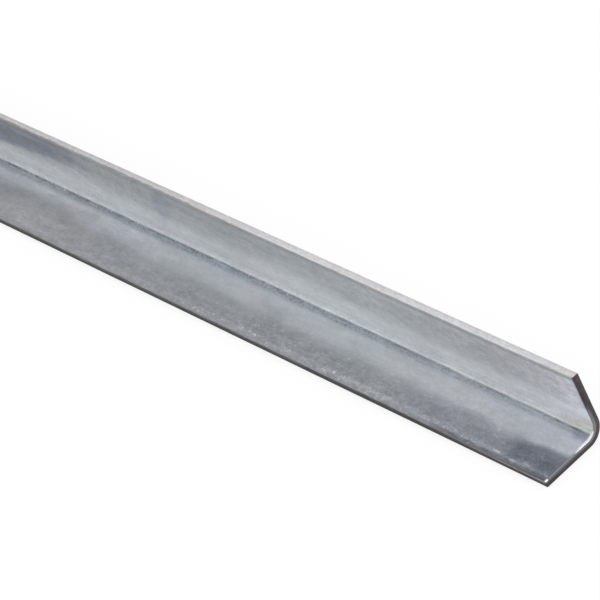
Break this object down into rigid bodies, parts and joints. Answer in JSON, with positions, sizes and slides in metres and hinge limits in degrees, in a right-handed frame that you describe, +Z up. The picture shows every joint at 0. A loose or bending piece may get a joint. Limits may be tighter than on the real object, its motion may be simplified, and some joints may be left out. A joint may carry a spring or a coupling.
{
  "type": "steel angle section",
  "caption": "Equal-leg steel angle stock, cold-bent from zinc-coated strip, with a rounded outer bend, a filleted inner corner and square-cut ends.",
  "frame": {"origin": "Centre of the bottom of the bounding box: mid length, midway between the flat leg's free edge and the standing leg's outer face, on the surface that the flat leg lies on.", "axes": "X runs along the stock. Z is up. The flat leg lies on Z = 0 with its free edge at -Y. The standing leg rises at +Y, with its outer face towards +Y."},
  "size_m": [0.9144, 0.0318, 0.0318],
  "materials": {
    "zinc_coated_steel": "zinc-coated cold-bent steel strip, satin grey with cloudy patches and pale specks"
  },
  "bodies": {
    "root": {"angle_section": "zinc_coated_steel"}
  },
  "joints": []
}
